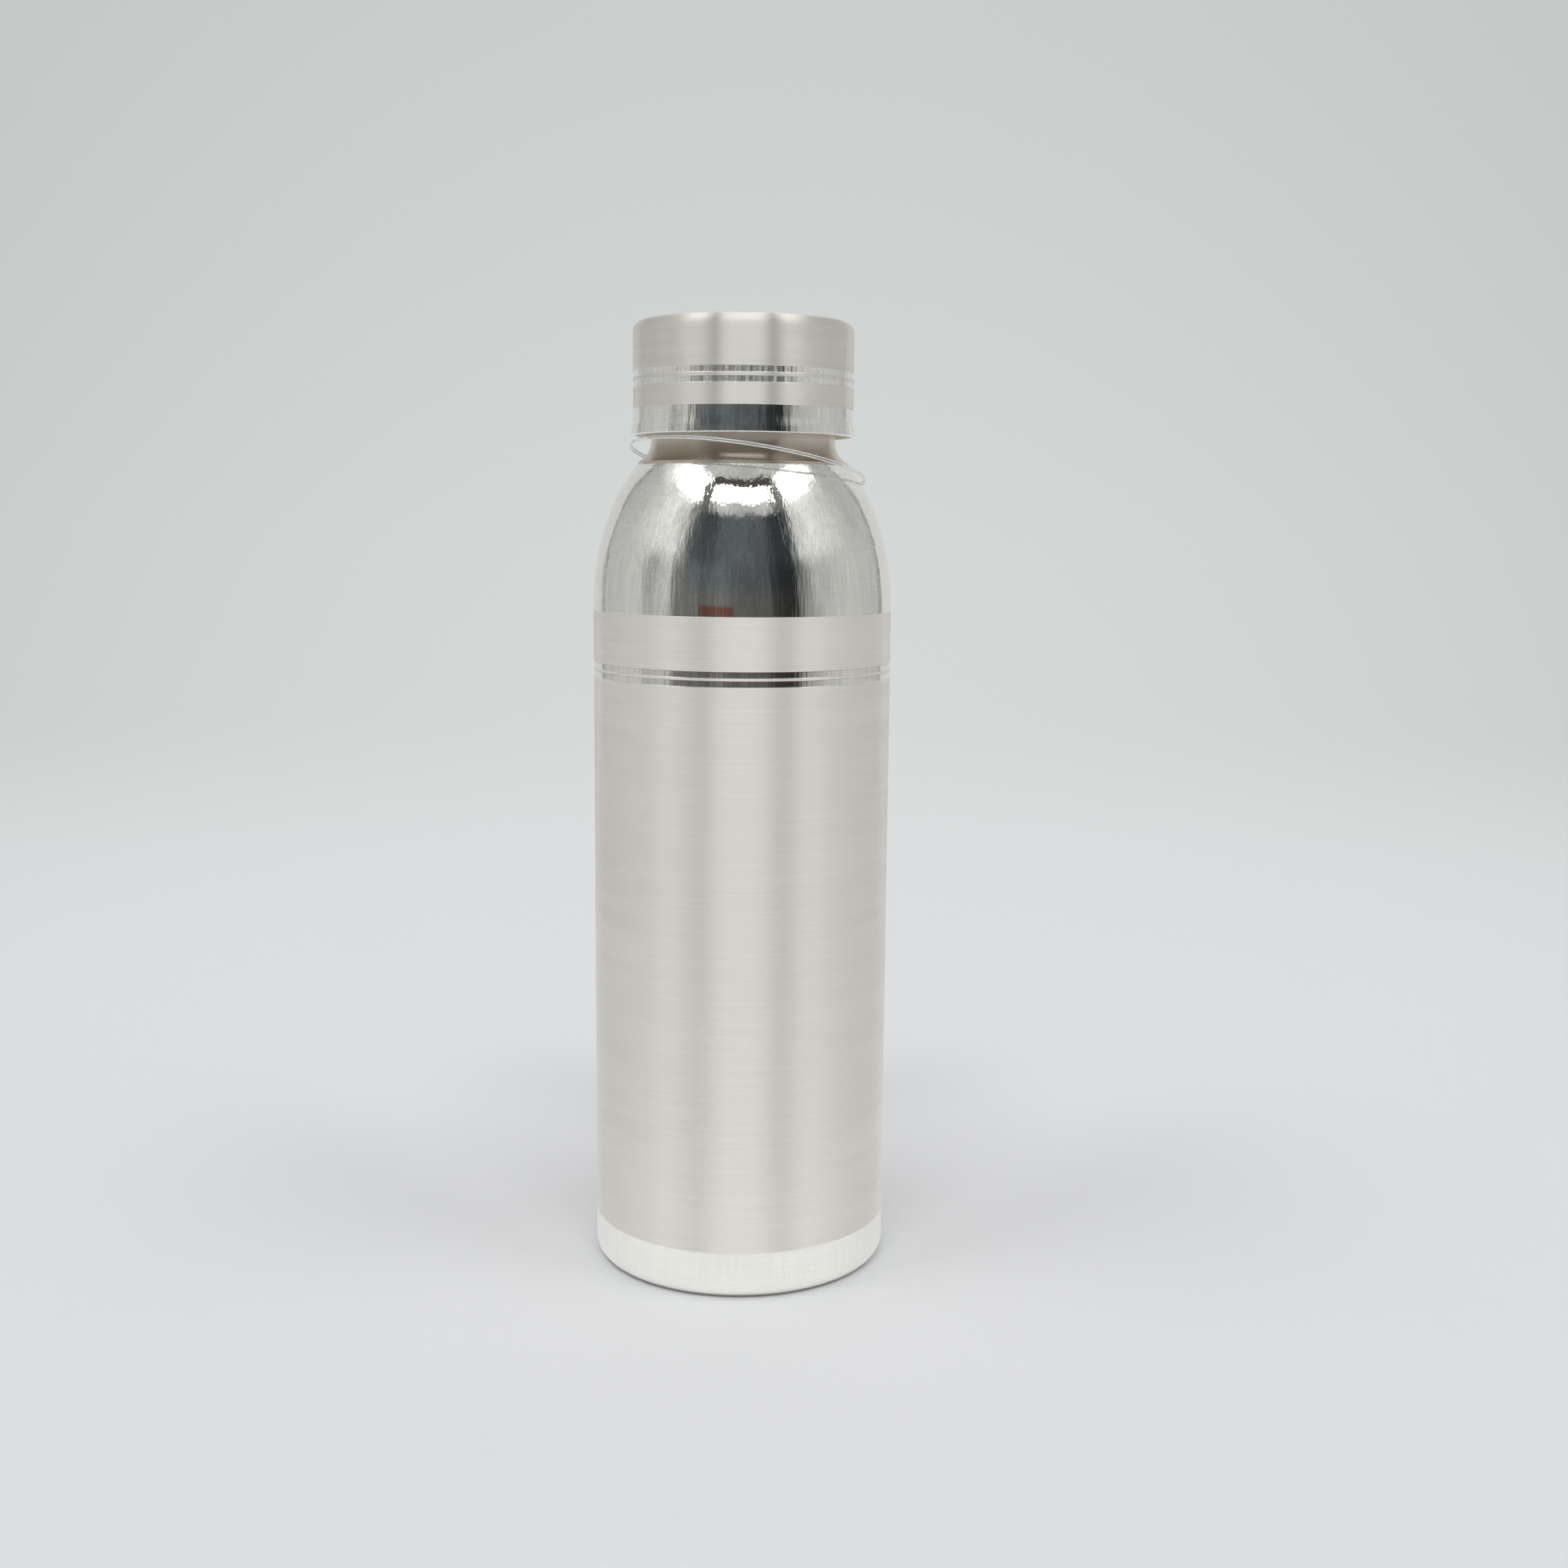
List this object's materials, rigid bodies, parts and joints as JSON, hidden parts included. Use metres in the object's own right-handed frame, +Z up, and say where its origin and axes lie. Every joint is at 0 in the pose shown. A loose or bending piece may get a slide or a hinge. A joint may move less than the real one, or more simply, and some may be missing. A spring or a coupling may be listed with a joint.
{
  "type": "metal water bottle with screw cap",
  "caption": "Tall round metal water bottle with a domed shoulder, a threaded neck and a screw cap, satin with mirror-polished bands.",
  "frame": {"origin": "middle of the ring that the bottle stands on, at the height of the table", "axes": "+Z up along the bottle's axis, -Y towards the viewer, +X to the viewer's right"},
  "size_m": [0.073, 0.073, 0.232],
  "materials": {
    "silvered_copper_body": "satin",
    "silvered_copper_base": "satin",
    "silvered_brass_neck": "satin",
    "silvered_copper_cap": "satin",
    "turned_brass": "satin",
    "silvered_liner": "satin",
    "silicone_seal": "matte",
    "nylon_filament": "gloss"
  },
  "bodies": {
    "bottle": {"body_shell": "silvered_copper_body", "base_disc": "silvered_copper_base", "neck_ring": "silvered_brass_neck", "tag_loop": "nylon_filament"},
    "seal": {"cap_gasket": "silicone_seal"},
    "cap": {"cap_shell": "silvered_copper_cap", "cap_thread_ring": "turned_brass", "cap_liner": "silvered_liner"}
  },
  "joints": [
    {"name": "cap_lift", "type": "slide", "parent": "bottle", "child": "seal", "axis": [0, 0, 1], "range_m": [0, 0.03]},
    {"name": "cap_turn", "type": "hinge", "parent": "seal", "child": "cap", "pos_m": [0, 0, 0.22], "axis": [0, 0, 1], "range_deg": [0, 2160]}
  ],
  "couplings": [
    {"joint": "cap_lift", "follows": "cap_turn", "m_per_rad": 0.00079577}
  ]
}
